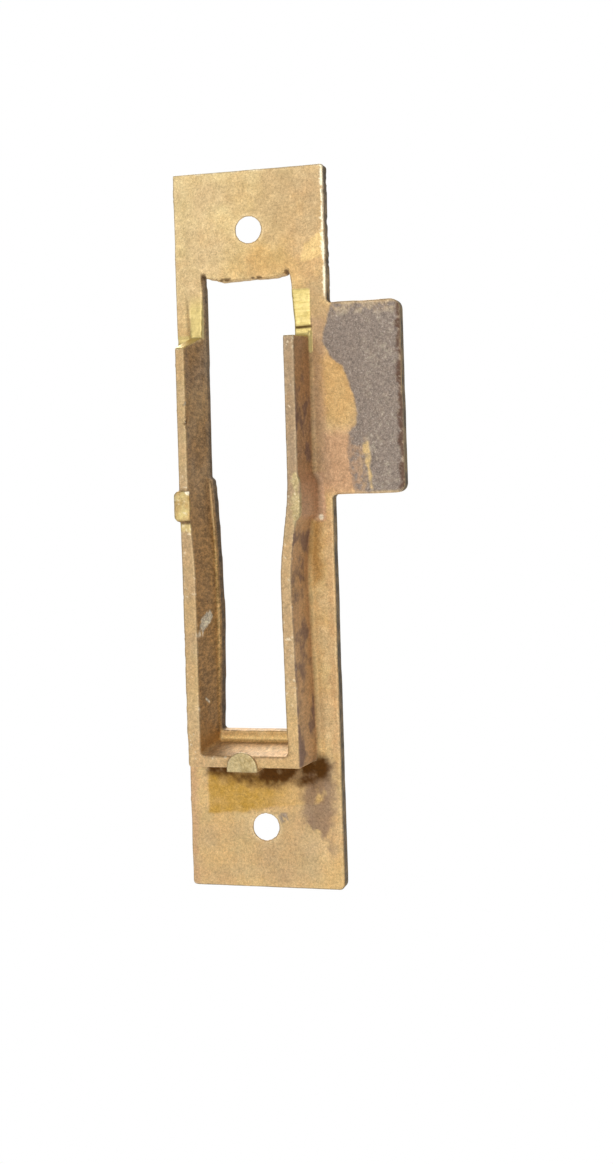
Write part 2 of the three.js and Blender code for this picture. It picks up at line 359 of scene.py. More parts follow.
def bottom_boss():
    """A half-round cap on the rim, with a rib under its flat side."""
    b = BOTTOM_BOSS
    middle = (b.x0 + b.x1) / 2
    radius = (b.x1 - b.x0) / 2
    cap = np.hypot(GX - middle, GZ - (b.z1 - radius)) - radius
    cap = np.minimum(cap, np.maximum(np.abs(GX - middle) - radius, GZ - (b.z1 - radius)))
    cap = np.maximum(cap, b.z0 - GZ)
    rib = np.maximum(cap, GZ - BOTTOM_WALL.z0 - 1)
    solid = np.where(GY < RIM_Y + 0.1, cap, rib)
    solid = round_overlap(solid, b.y0 - GY, 0.16)
    return np.maximum(solid, GY - 1)


def left_root():
    """A wedge that runs out to nothing at its top and slopes down to the plate on its left."""
    b = LEFT_ROOT
    rise = (b.z1 - GZ) / (b.z1 - b.z0) * (b.y1 - b.y0)
    leaning = (b.x0 - 0.5 - GX - GY) / math.hypot(1, 1)
    solid = np.maximum(np.maximum(leaning, GX - b.x1 - 0.1), between(GZ, b.z0 - 0.5, b.z1))
    return np.maximum(np.maximum(solid, -rise - GY), GY - 1)


def right_root():
    """A land filed down nearly to the plate, with the saw's kerf across it."""
    b = RIGHT_ROOT
    proud = 0.16 * np.clip((b.z1 + 0.3 - GZ) / 2, 0, 1)
    solid = np.maximum(between(GX, b.x0 - 0.6, b.x1 + 0.1), between(GZ, b.z0 - 0.5, b.z1 + 0.3))
    kerf = np.hypot(GZ - (b.z0 + 1.1), (GY + 0.3) * 0.4) - 0.17
    kerf = np.maximum(kerf, b.x0 + 0.15 - GX)
    solid = round_overlap(solid, -proud - GY, 0.12)
    return np.maximum(np.maximum(solid, GY - 1), -kerf)


CURL_X = RIGHT_ROOT.x1 - 0.15
CURL_LOW = 30.6
CURL_HIGH = 34
CURL_RADIUS = 0.24


def curl():
    """The thin curl of brass that the saw left beside the right wall."""
    along = np.clip(GZ, CURL_LOW, CURL_HIGH)
    return np.sqrt((GX - CURL_X) ** 2 + (GY + 0.1) ** 2 + (GZ - along) ** 2) - CURL_RADIUS


def screw_holes():
    """Both screw holes with their countersinks. The lower one is a little out of round."""
    radius = np.hypot(GX, np.abs(GZ) - SCREW_Z)
    angle = np.arctan2(np.abs(GZ) - SCREW_Z, GX)
    plain = radius - SCREW_RADIUS + 2 * SKIN - np.where(GZ < 0, 0.07 * np.cos(2 * angle + 1), 0)
    cone = radius - SCREW_HEAD_RADIUS - (GY - PLATE.y1) * SCREW_HEAD_SLOPE
    return np.minimum(plain, cone / math.hypot(1, SCREW_HEAD_SLOPE))


def score():
    """The file stroke across the plate's left margin, in line with the sawn end of the wall."""
    line = GZ - 33.75 - 0.1 * (GX + 12)
    groove = np.hypot(line * 0.45, GY) - 0.22
    return np.maximum(groove, GX - LEFT_ROOT.x0 - 0.4)


DENT_X = -7.95
DENT_Y = -5.0
DENT_Z = -16.2
DENT_TILT = 0.4
DENT_SIZE = 0.95


def dent():
    """A knock in the left wall's inner face, wider than it is deep."""
    height = GZ - DENT_Z - DENT_TILT * (GY - DENT_Y)
    stretched = ((GX - DENT_X) * 2.6) ** 2 + ((GY - DENT_Y) * 0.35) ** 2 + (height * 0.6) ** 2
    return np.sqrt(stretched) - DENT_SIZE


BAY_FILLET = 0.6
OUTER_FILLET = 0.85


def casting():
    """The whole casting's distance field. The show face stays smoother than the rest."""
    walls, bay = box_walls()
    fillet = np.where(bay < 0, BAY_FILLET, OUTER_FILLET).astype(np.float32)
    solid = round_union(plate_and_lip(), walls, fillet)
    solid = round_union(solid, right_side_boss(), 1.0)
    solid = round_overlap(solid, RIM_Y - GY, 0.2)
    solid = round_union(solid, left_side_boss(), 0.2)
    solid = round_union(solid, bottom_boss(), 0.15)
    solid = round_union(solid, left_root(), 0.1)
    solid = round_union(solid, right_root(), 0.25)
    solid = np.minimum(solid, curl())
    solid = round_overlap(solid, -window(), 0.12)
    solid = round_overlap(solid, -screw_holes(), 0.1)
    solid = round_overlap(solid, -score(), 0.1)
    solid = round_overlap(solid, -dent(), 0.1)
    roughness = 1 - 0.85 * rise(GY - 1.2, 1.4)
    relief = (0.02 * grid_noise(11, 1.6) + 0.018 * grid_noise(12, 0.6)) * roughness
    return (solid + SKIN + relief).astype(np.float32)


# ---- mesh of the field

# The field is kept only this far to either side of the surface.
BAND = 3 * VOXEL


def field_mesh(field):
    grid = openvdb.FloatGrid(background=BAND)
    grid.copyFromArray(np.clip(field, -BAND, BAND))
    points, quads = grid.convertToQuads(isovalue=0)
    return points * VOXEL + low_corner, quads


def sample(field, points):
    """The field's value at any points, in millimetres, between its voxels."""
    place = np.clip((points - low_corner) / VOXEL, 0, grid_counts - 1.001)
    lower = place.astype(int)
    return in_cell(field, lower, place - lower)


def field_normals(field, points):
    slope = np.zeros((len(points), 3))
    for axis in range(3):
        step = np.zeros(3)
        step[axis] = 0.6 * VOXEL
        slope[:, axis] = sample(field, points + step) - sample(field, points - step)
    return slope / np.maximum(np.linalg.norm(slope, axis=1), 1e-9)[:, None]


def mesh_from_arrays(name, points, faces):
    mesh = bpy.data.meshes.new(name)
    mesh.from_pydata(points * MM, [], faces)
    mesh.update()
    return mesh


# ---- cutting it into pieces

# The walls and bosses come off the plate on this plane.
JOINT_Y = -0.7
# Past everything.
FAR = 100


def prism_cutter(axis, low, high, outline):
    """A convex solid: an outline in the other two axes, run from low to high along one axis."""
    others = [a for a in range(3) if a != axis]
    count = len(outline)
    points = np.zeros((2 * count, 3))
    for row, (u, v) in enumerate(outline):
        for end, value in enumerate((low, high)):
            point = points[row + end * count]
            point[others[0]], point[others[1]], point[axis] = u, v, value
    faces = [list(range(count)), list(range(2 * count - 1, count - 1, -1))]
    for i in range(count):
        j = (i + 1) % count
        faces.append([i, count + i, count + j, j])
    mesh = mesh_from_arrays("cutter", points, faces)
    tidy = bmesh.new()
    tidy.from_mesh(mesh)
    bmesh.ops.recalc_face_normals(tidy, faces=tidy.faces)
    tidy.to_mesh(mesh)
    tidy.free()
    return mesh


def block_cutter(x0, x1, y0, y1, z0, z1):
    return prism_cutter(1, y0, y1, [(x0, z0), (x1, z0), (x1, z1), (x0, z1)])


def cutters():
    """Each piece's region, in the order in which the pieces come off the casting."""
    wall_depth = (RIM_Y - 2, JOINT_Y)
    yield "latch_lip", block_cutter(PLATE.x1 + 0.8, FAR, -FAR, FAR, -FAR, FAR)
    b = RIGHT_ROOT
    yield "right_sawn_wall_root", block_cutter(b.x0 - 2, b.x1 + 0.15, -2, 0.5, b.z0 - 0.3, b.z1 + 0.15)
    b = LEFT_ROOT
    yield "left_sawn_wall_root", block_cutter(b.x0 - 0.15, b.x1 + 2, -2, 0.5, b.z0 + 0.2, b.z1 + 0.15)
    b = LEFT_BOSS
    yield "left_side_boss", prism_cutter(2, b.z0 - 0.12, b.z1 + 0.12, [
        (b.x0 - 1, JOINT_Y), (b.x0 + 1, JOINT_Y), (b.x1 + 0.2, RIM_Y - 1), (b.x0 - 1, RIM_Y - 1),
    ])
    b = RIGHT_BOSS
    yield "right_side_boss", block_cutter(b.x0, b.x1 + 1, *wall_depth, b.z0 - 0.3, b.z1 + 0.3)
    b = BOTTOM_BOSS
    yield "bottom_boss", prism_cutter(0, b.x0 - 0.15, b.x1 + 0.15, [
        (JOINT_Y, b.z0 - 1), (JOINT_Y, BOTTOM_WALL.z0 + 0.1),
        (RIM_Y - 1, b.z1 + 0.3), (RIM_Y - 1, b.z0 - 1),
    ])
    yield "bottom_box_wall", block_cutter(-FAR, FAR, *wall_depth, -FAR, BOTTOM_WALL.z1)
    yield "left_box_wall", block_cutter(-FAR, 0, *wall_depth, -FAR, FAR)
    yield "right_box_wall", block_cutter(0, FAR, *wall_depth, -FAR, FAR)


def boolean(mesh, cutter, operation):
    body = bpy.data.objects.new("body", mesh)
    tool = bpy.data.objects.new("tool", cutter)
    for item in (body, tool):
        bpy.context.scene.collection.objects.link(item)
    modifier = body.modifiers.new("cut", "BOOLEAN")
    modifier.operation = operation
    modifier.solver = "MANIFOLD"
    modifier.object = tool
    shown = body.evaluated_get(bpy.context.evaluated_depsgraph_get())
    result = bpy.data.meshes.new_from_object(shown)
    for item in (body, tool):
        bpy.data.objects.remove(item)
    return result


def split_casting(mesh):
    for name, cutter in cutters():
        yield name, boolean(mesh, cutter, "INTERSECT")
        mesh = boolean(mesh, cutter, "DIFFERENCE")
    yield "strike_plate", mesh


# ---- wear, tarnish, painted shade and painted highlight masks

TO_LIP = np.array((1, 0, 0))
TO_JAMB = np.array((0, -1, 0))
UP = np.array((0, 0, 1))

# How deep under the skin an edge is felt, and how far off it a hollow corner is.
EDGE_DEPTH = 0.45
CORNER_REACH = 0.8
# How far a stain's outline wanders, by the fine noise and by the coarse one.
FINE_WANDER = 0.16
WANDER = 0.34

# The stains' outlines, as (x, z).
LIP_OXIDE = [
    (14.6, 38.7), (14, 36.2), (13, 33.7), (13.1, 31.9), (13.7, 30.8), (14.8, 29.1), (16.1, 28),
    (17.2, 26.5), (17.7, 24.4), (18.5, 21.5), (18.8, 19.4), (18.7, 17.4), (17.4, 16.3), (17.1, 12),
    (17.5, 8.5), (18.2, 5.2), (28, 5.2), (28, 40), (15, 40),
]
PALE_PATCH = [(9.4, 46.4), (10.1, 49.5), (14.2, 52.2), (14.2, 47.6), (11.3, 46.6)]
PALE_SCRATCH = [
    (19.7, 14.3), (20.9, 14.5), (21, 11.4), (20.7, 10.2), (21.2, 8.6), (21.3, 6.3), (20.8, 6.3),
    (20.6, 8.6), (20.2, 10.4),
]
LACQUER_BAND = [
    (-10.6, -43), (8.2, -44.2), (11, -44.2), (11, -48.6), (2.5, -49), (-3.5, -50.2), (-10.6, -50.6),
]
LACQUER_BY_OXIDE = [
    (12.2, 29.5), (14.6, 29), (17, 26.6), (17.6, 24), (18.2, 20), (17, 17.5), (13, 18.5),
]
LACQUER_ABOVE_WINDOW = [(-4, 62), (8, 62), (8, 46), (-3, 46)]
RUST_STRIPE = [(9.8, 1.4), (11.5, 0.8), (11.8, -4), (11.5, -9.2), (10.2, -10.4), (9.6, -4)]
RUST_BY_OXIDE = [
    (14.2, 30), (16.4, 28.6), (18, 25.4), (18.6, 21), (17.4, 21.5), (16.6, 25.4), (14.8, 28),
]
RUST_ABOVE_WINDOW = [(-3, 46.4), (2, 49), (8, 48.6), (9.5, 45), (0, 44)]
DUST_BY_WALL = [(10.2, 43), (13.6, 43), (13.4, 34), (12.6, 27), (12.8, 18), (14, 8), (10.6, 8)]
DIRT_BAND = [
    (-10.8, -40), (11, -40), (12.4, -41.6), (11.6, -44.2), (8.5, -45.6), (4.5, -45.2),
    (0.5, -45.6), (-3.5, -45.1), (-7, -44.3), (-10.8, -43.6),
]
INK_ON_PLATE = [(7, -41), (13, -41), (12.6, -50), (11.8, -57), (8.2, -56), (6.6, -48)]


def soft(value, width):
    """0 below -width / 2, 1 above width / 2."""
    return fade(np.clip(value / width + 0.5, 0, 1))


def strongest(*masks):
    return np.max(masks, axis=0)


class Surface:
    """A piece's vertices in millimetres, with what the masks ask of each."""

    def __init__(self, field, points):
        self.points = points
        self.x, self.y, self.z = points.T
        self.normal = field_normals(field, points)
        inside = sample(field, points - EDGE_DEPTH * self.normal)
        outside = sample(field, points + CORNER_REACH * self.normal)
        self.edge = np.clip((inside + EDGE_DEPTH) / 0.3, 0, 1)
        self.corner = np.clip((CORNER_REACH - outside) / 0.6, 0, 1)
        self.grain = rough_noise(points, 21, 0.55)
        self.mottle = rough_noise(points, 22, 1.5)
        self.drift = rough_noise(points, 25, 5)
        self.drift_wide = rough_noise(points, 26, 13)
        self.wander_x = FINE_WANDER * self.grain + WANDER * self.mottle
        self.wander_z = FINE_WANDER * rough_noise(points, 23, 0.55)
        self.wander_z += WANDER * rough_noise(points, 24, 1.5)
        self.seat_side = self.facing(TO_JAMB, 0.4) * soft(0.5 - self.y, 0.6)
        # The seating face itself, and not the walls that rise from it.
        self.on_plate = self.seat_side * soft(self.y + 1.6, 0.6)
        self.faces_lip = self.facing(TO_LIP, 0.55)
        self.show_side = soft(self.y - PLATE.y1 + 0.7, 0.5)

    def facing(self, direction, least, width=0.3):
        """1 where the surface faces a direction, 0 where the cosine falls under the least one."""
        return soft(self.normal @ direction - least, width)

    def zone(self, outline, width=0.5, wander=1):
        """1 inside an outline in the XZ plane, fading out over a width, with a wandering edge."""
        x = self.x + wander * self.wander_x
        z = self.z + wander * self.wander_z
        return soft(-polygon_distance(x, z, outline), width)

    def strip(self, x0, x1, z0, z1, width=0.5, wander=1):
        return self.zone([(x0, z0), (x1, z0), (x1, z1), (x0, z1)], width, wander)

    def on_rim(self, depth=0.5):
        """The walls' rim, and what lies no deeper behind it."""
        return self.y < RIM_Y + depth

    def on_cap(self, boss, foot, head, depth=0.35):
        """The end of a boss, from a little past its foot to a little past its head."""
        cap = self.strip(boss.x0 - 0.2, boss.x1 + 0.2, boss.z0 + foot, boss.z1 + head, 0.2, 0.1)
        return cap * (self.y < boss.y0 + depth)

    def flecks(self, level, width):
        """Small spots, the fewer the higher the level."""
        return soft(self.grain + 0.3 * self.mottle - level, width)


def filed(s):
    """Fresh brass where the file has been."""
    near = soft(0.45 - s.y, 0.3) * (s.y > RIM_Y / 2) * (s.normal[:, 1] < 0.3)
    b = LEFT_ROOT
    left = s.strip(b.x0 + 0.2, -8.2, b.z0 - 0.4, b.z1, 0.5, 0.4)
    left = left * soft(b.z1 - 1.2 - s.z + 0.8 * s.drift, 3.4) * 0.9
    b = RIGHT_ROOT
    right = s.strip(7.3, b.x1 - 0.02, b.z0 - 0.6, b.z1 + 0.35, 0.2, 0.2)
    land = np.maximum(left, right) * near
    along = np.clip(s.z, CURL_LOW + 0.2, CURL_HIGH)
    off_curl = np.sqrt((s.x - CURL_X - 0.05) ** 2 + (s.y + 0.2) ** 2 + (s.z - along) ** 2)
    curl = soft(0.42 - off_curl, 0.2)
    stroke = s.strip(-14.4, -10.2, 32.8, 34.5, 0.4, 0.5) * s.on_plate * 0.85
    sawn = s.facing(UP, 0.55) * soft(s.z - 31, 0.5) * soft(35.2 - s.z, 0.5) * (s.y < -0.2)
    b = LEFT_BOSS
    worn = np.clip(0.32 + 0.85 * s.mottle + 0.12 * (s.x - b.x0 - 1.5), 0, 0.75)
    boss = s.on_cap(b, 0.1, 0.1) * worn
    smear = s.strip(-11.2, -9, -0.2, 1.3, 0.5, 1) * 0.6 * s.on_rim(0.3) * (s.z < b.z0 + 0.2)
    return strongest(land, curl, stroke, sawn, boss, smear)


def lined(s):
    """Where the file's strokes still show as lines across."""
    b = RIGHT_ROOT
    right = s.strip(7.2, b.x1 + 0.4, b.z0 - 0.5, b.z1 + 0.3, 0.3, 0.2)
    b = LEFT_ROOT
    left = s.strip(-11.6, -8.6, b.z0 - 0.6, b.z1 - 1, 0.6, 0.3) * 0.5
    return np.maximum(right, left) * (s.y > -1.2)


def rubbed(s):
    """Brass rubbed dull yellow: the bosses' ends."""
    bottom = s.on_cap(BOTTOM_BOSS, -0.2, 0.3, 0.3) * 0.85
    upper = 1 - np.hypot((s.x - 10.1) / 0.8, (s.z - 7.9) / 1.3)
    lower = 1 - np.hypot(s.x - 10.2, (s.z - 3.2) / 2.4)
    right = soft(np.maximum(upper, lower) + 0.6 * s.mottle + 0.5 * s.grain, 0.6)
    right = right * soft(RIM_Y + 0.8 - s.y, 0.8) * 0.85
    worn = np.clip(0.55 + 0.7 * s.mottle + 0.1 * (s.z - LEFT_BOSS.z0 - 3), 0.15, 0.85)
    left = s.on_cap(LEFT_BOSS, 0, 0.1) * worn
    return strongest(bottom, right, left)


def oxide(s):
    """The grey skin on the lip, worn through in spots and along its edges."""
    body = s.zone(LIP_OXIDE, 0.45)
    lower = soft(15 - s.z, 5) * soft(20.4 - s.x, 2.2)
    worn = soft(0.6 * s.mottle + 0.9 * s.grain - 0.12 + 0.5 * (lower - 0.5), 0.8) * lower
    edge = soft(0.45 - np.minimum(LIP.z1 - s.z, s.z - LIP.z0) + 0.3 * s.mottle, 0.5) * 0.45
    top = soft(s.z - 37.2, 2) * s.flecks(0, 0.8) * 0.4
    spot = s.strip(2.5, 3.9, -52, -50, 0.6, 1.2) * soft(s.grain + 0.25, 0.5) * 0.8
    body = np.maximum(body * (1 - 0.6 * worn) * (1 - edge) * (1 - top), spot)
    return body * s.seat_side * (1 - 0.4 * s.edge)


def pale(s):
    """Light patches on the seating face: a spot near the upper right, a scratch on the lip, and the
    ledges beside the window.
    """
    patch = s.zone(PALE_PATCH, 0.5, 0.8) * 0.85
    scratch = s.zone(PALE_SCRATCH, 0.4, 0.7) * np.clip(0.7 + 0.6 * s.grain, 0, 0.9)
    ledge = s.strip(-8.2, 6.6, -38, -36.6, 0.6, 0.4) * 0.85
    left_ledge = s.strip(-7.95, -6.9, -36, 9, 0.4, 0.2) * (0.55 + 0.35 * soft(s.z + 8, 3))
    return strongest(patch, scratch, ledge, left_ledge) * s.on_plate


def gold(s):
    """Old lacquer: a band below the bottom wall, and traces on the lip, the top and a boss."""
    band = s.zone(LACQUER_BAND, 0.7, 0.8) * (1 - 0.6 * soft(s.x - 2.5, 8)) * (0.85 + 0.25 * s.mottle)
    lip = s.zone(LACQUER_BY_OXIDE, 2.2, 1.5) * 0.28
    upper = s.zone(LACQUER_ABOVE_WINDOW, 4, 2.5) * 0.16
    plate = strongest(band, lip, upper) * s.on_plate
    return np.maximum(plate, s.on_cap(LEFT_BOSS, 0, 0.1) * 0.7)


def rust(s):
    """Orange-brown stains: below the step, by the oxide, above the window and inside the box."""
    stripe = s.zone(RUST_STRIPE, 1.9, 1.1)
    lip = s.zone(RUST_BY_OXIDE, 1.2, 0.9) * 0.35
    top = s.zone(RUST_ABOVE_WINDOW, 2.6, 2) * (0.6 + 0.5 * s.mottle) * 0.25
    ledge = s.strip(-8.2, 6.6, -36.6, -35.5, 0.6, 0.4) * (0.25 + 0.35 * soft(s.z + 36, 0.3))
    plate = strongest(stripe, lip, top, ledge) * s.on_plate
    inner = soft(s.x + 10, 0.5) * soft(-6 - s.x, 1) * s.facing(TO_LIP, 0.4) * soft(5 - s.z, 12)
    return np.maximum(plate, inner * 0.65 * ~s.on_rim(0.4))


def dusty(s):
    """A grey-beige film: on the rims, between the right wall and the lip, and at both ends."""
    height = 0.4 + 0.3 * soft(s.x, 1) * soft(s.z - 4, 14)
    rim = s.on_rim() * height * (1 - 0.5 * soft(-24 - s.z, 12))
    gap = s.zone(DUST_BY_WALL, 2.4, 1.4) * 0.4
    land = s.strip(10.9, 14.2, 33, 44, 1.5, 1.2) * 0.3
    below = s.strip(-13, 9.5, -62.5, -50, 3, 1.5) * (0.14 + 0.14 * soft(s.x + 4, 8))
    upper = s.strip(2, 13.6, 52, 62.5, 5, 3) * 0.18
    plate = strongest(gap, land, below, upper) * s.on_plate
    return np.maximum(rim, plate) * (1 + 0.3 * s.mottle)


def fresh(s):
    """How yellow the bare brass is: most at the top of the plate, least along its right side."""
    upper = soft(s.z - 47 + 6 * s.drift_wide - 0.9 * s.x, 26) * (0.78 + 0.22 * soft(-1 - s.x, 7))
    lower = soft(-50 - s.z, 9) * soft(s.x + 3, 12) * 0.15
    left = soft(-9 - s.x, 4) * 0.15
    streak = s.strip(11, 12.8, -44, -11, 1.4, 1.2) * 0.5
    return strongest(upper, lower, left, streak) + 0.3 * s.drift


def shaded_lip_edge(s):
    """Broken dark line down the lip's outer edge: partly dirt, partly painted shade of the edge."""
    line = soft(s.x - LIP.x1 + 0.95 + 0.5 * s.mottle + 0.2 * s.grain, 0.7)
    line = line * soft(LIP.x1 - 0.12 - s.x, 0.16)
    return line * soft(0.7 * s.mottle + 1.5 * s.grain + 0.5, 0.7) * s.seat_side


def grime_and_shade(s):
    """Dark dirt under the bottom wall, in saw cuts and around the screw heads, with painted shade in
    hollow corners, under the left boss and along the lip's edge.
    """
    deep = rough_noise(s.points, 33, 2) + 0.35 * s.grain + 0.06 + 0.3 * soft(s.x + 5, 3)
    under = s.zone(DIRT_BAND, 2.4, 2) * (0.6 + 0.4 * soft(deep, 0.7)) * s.on_plate
    left_notch = s.strip(-9.1, -8.2, 44.5, 45.4, 0.5, 0.4) * 0.7
    right_notch = s.strip(6.5, 7.2, 44.7, 45.3, 0.4, 0.4) * 0.7
    chips = soft(s.mottle + 0.5 * s.grain - 0.42, 0.3) * s.strip(-7, 6.2, 43.2, 44.35, 0.4, 0.5) * 0.8
    kerf = s.strip(8.2, RIGHT_ROOT.x1 + 0.2, 34.8, 35.2, 0.2, 0.15) * 0.9
    cuts = np.clip(left_notch + right_notch + chips + kerf, 0, 1) * (s.y > -1) * soft(2.2 - s.y, 1.5)
    # Painted shade: a dark band on the rim along the left boss's lower bevel, which faces down.
    b = LEFT_BOSS
    boss = s.strip(b.x0, -8.9, b.z0 - 0.1, b.z0 + 0.55, 0.3, 0.1) * s.on_rim(0.2) * 0.6
    line = soft(s.grain + 0.4 * s.mottle - 0.25, 0.4) * soft(0.35 - np.abs(s.x + 9.6), 0.4)
    smudge = line * s.on_rim(0.6) * s.strip(-11, -8.5, 17.5, 22.5, 1.2, 0.3) * 0.9
    # Painted shade in hollow corners, mottled like dirt and kept off the bottom and the sawn ends.
    clean = np.maximum(soft(2.5 - np.abs(s.z + 38), 2), soft(s.z - 33, 1) * (s.x < 0))
    corners = 0.35 * s.corner * soft(s.mottle + 0.4, 1) * (1 - 0.85 * clean)
    off_head = np.hypot(s.x, np.abs(s.z) - SCREW_Z) - SCREW_HEAD_RADIUS
    ring = soft(0.22 - np.abs(off_head - 0.1) + 0.15 * s.mottle, 0.3) * s.show_side * 0.5
    return strongest(under, cuts, boss, shaded_lip_edge(s) * 0.45, corners, smudge, ring)


def ink_and_shade(s):
    """Shapeless violet-brown smudges on the right wall's outer face and on the plate below it, and the
    painted shade along the lip's outer edge.
    """
    spots = soft(rough_noise(s.points, 31, 2.8) + 0.2 * s.grain - 0.12, 0.65)
    wall = s.strip(8.6, 11.5, -40.5, 27, 0.6) * s.faces_lip * soft(-0.6 - s.y, 0.6)
    wall = wall * (1 - s.strip(8, 13, -0.5, 10.5, 1.2, 0.5))
    smear = soft(rough_noise(s.points, 36, 3.6) + 0.15 * s.grain + 0.06, 0.34)
    plate = s.zone(INK_ON_PLATE, 2.6, 2.4) * s.on_plate
    return spots * wall * 0.8 + smear * plate * 0.65 + shaded_lip_edge(s) * 0.8


def pink(s):
    """Copper-coloured tarnish, with painted shade on the right wall's outer face and on the plate
    beside that wall.
    """
    rim = s.on_rim() * soft(s.x, 1) * soft(s.z - 2, 12) * 0.5
    # Painted shade, partly tarnish: the right wall's outer face, which faces +X.
    outer = s.faces_lip * soft(s.x - 8, 1) * soft(-0.4 - s.y, 0.6) * (0.62 + 0.23 * soft(s.z - 8, 4))
    boss = s.strip(10.2, 12.8, 0.8, 9.6, 0.8, 0.8) * soft(s.y + 8.4, 1) * soft(0.6 - s.y, 0.4) * 0.9
    # The strips from x 10.8 to 13.6 and from 12.4 to 14.5 lie beside the right wall and hold painted
    # shade as well as tarnish.
    flat = strongest(
        s.strip(11.5, 20.4, 5.5, 17, 3.5, 2) * 0.8,
        s.strip(12.5, 19.5, 15, 31, 2, 2) * 0.3,
        s.strip(10.8, 13.6, 10, 36.5, 1.8, 1.5) * 0.6,
        s.strip(-14.5, -12.6, -64, -38, 1.6, 1.5) * 0.6,
        s.strip(12.4, 14.5, -40, 3, 1.6, 1.5) * 0.35,
        s.strip(-8.5, -7.2, -36, -10, 0.5, 0.5) * 0.7,
    ) * s.seat_side
    bottom = s.facing(UP, 0.3, 0.4) * soft(-37 - s.z, 0.6) * soft(-0.8 - s.y, 0.5) * 0.35
    drift = 0.3 * soft(s.drift, 1.2)
    return strongest(rim, outer, boss, flat, bottom, drift)


def tarnish_and_shade(s):
    """Brown tarnish with painted shade: in the box, on faces turned to +X, beside the right wall and on
    the left boss's lower edge.
    """
    in_bay = soft(s.x + 9.8, 0.5) * soft(8.8 - s.x, 0.5)
    in_bay = in_bay * soft(s.y - RIM_Y - 0.35, 0.3) * soft(0.8 - s.y, 0.3)
    in_bay = in_bay * soft(LEFT_WALL.z1 - 0.4 - s.z - 0.6 * (s.y < -1), 0.5)
    in_bay = in_bay * soft(s.z + 36.6 + 0.3 * s.y, 2.4)
    # Painted shade, with some tarnish: the bay's side faces are darkened.
    inner = in_bay * np.maximum(s.facing(TO_LIP, 0.4), s.facing(-TO_LIP, 0.4))
    # Painted shade, with some tarnish: the right wall's outer face, which faces +X.
    outer = s.faces_lip * soft(s.x - 8, 1) * soft(-0.5 - s.y, 0.6) * (0.08 + 0.5 * soft(s.z - 10, 3))
    bottom = s.facing(UP, 0.4) * soft(-37.6 - s.z, 0.4) * soft(s.y - RIM_Y - 0.4, 0.4) * 0.62
    window_foot = s.facing(UP, 0.4) * soft(1.5 - np.abs(s.z + 36), 1) * soft(s.y - 0.1, 0.3) * 0.85
    # Painted shade: a dark fringe on the plate beside the right wall's foot.
    off_wall = s.x - stepped_face(s.z, *RIGHT_OUTER_FOOT)
    foot = soft(1.2 - off_wall + 0.8 * s.mottle, 1.8) * soft(off_wall + 0.4, 0.4)
    foot = foot * soft(33 - s.z, 1.5) * soft(s.z + 40, 2) * soft(s.y + 1.2, 0.5) * (s.y < 0.3)
    foot = foot * (0.12 + 0.38 * soft(s.z - 6, 5))
    ledge = s.strip(-9, -7, -37, 9, 0.5, 0.3) * s.seat_side * 0.15 * soft(s.y + 0.4, 0.4)
    # Painted shade: the window's side that faces +X.
    window_side = s.facing(TO_LIP, 0.5) * soft(-6 - s.x, 1)
    window_side = window_side * soft(s.y - 0.3, 0.4) * soft(3.1 - s.y, 0.3)
    crack = s.strip(1, 1.3, -58, -55.3, 0.3, 0.4) * s.seat_side * 0.5
    # Tarnish on the left boss's left and lower edges, with painted shade on the lower one.
    b = LEFT_BOSS
    boss = soft(np.maximum(b.x0 + 0.5 - s.x, b.z0 + 0.7 - s.z) + 0.2 * s.mottle, 0.5) * 0.6
    boss = boss * s.strip(b.x0 - 0.3, b.x1, b.z0 - 0.1, b.z1 + 0.3, 0.2, 0.1) * (s.y < b.y0 + 1.5)
    everywhere = strongest(inner, outer, bottom, window_foot, foot, ledge, window_side, crack, boss)
    return everywhere * (1 - 0.3 * soft(s.drift, 1))


def shaded_sides(s):
    """Painted shade: the plate's sides that face +X, and its bottom edge, are made nearly black."""
    side = s.facing(TO_LIP, 0.45) * soft(s.y - 0.35, 0.4)
    lower = soft(8 - s.z, 4)
    in_window = soft(s.x + 9.5, 0.3) * soft(8 - s.x, 1)
    in_window = in_window * (1 - (0.75 + 0.2 * lower) * soft(s.y - 1.3 + 0.4 * lower, 1))
    # Painted shade on the bottom edge, which faces down.
    foot = s.facing(-UP, 0.3, 0.4) * soft(-62.6 - s.z, 0.5)
    uneven = 0.88 + 0.3 * s.mottle - soft(s.z - 40, 3) * (0.04 + 0.3 * s.grain)
    return np.maximum(side * (1 - in_window), foot) * soft(PLATE.y1 - 0.25 - s.y, 0.4) * uneven


def wear(s):
    """Edges rubbed bright."""
    return np.clip(s.edge * (0.5 + 0.5 * s.mottle + 0.5 * s.grain), 0, 1) * (1 - 0.5 * s.faces_lip)


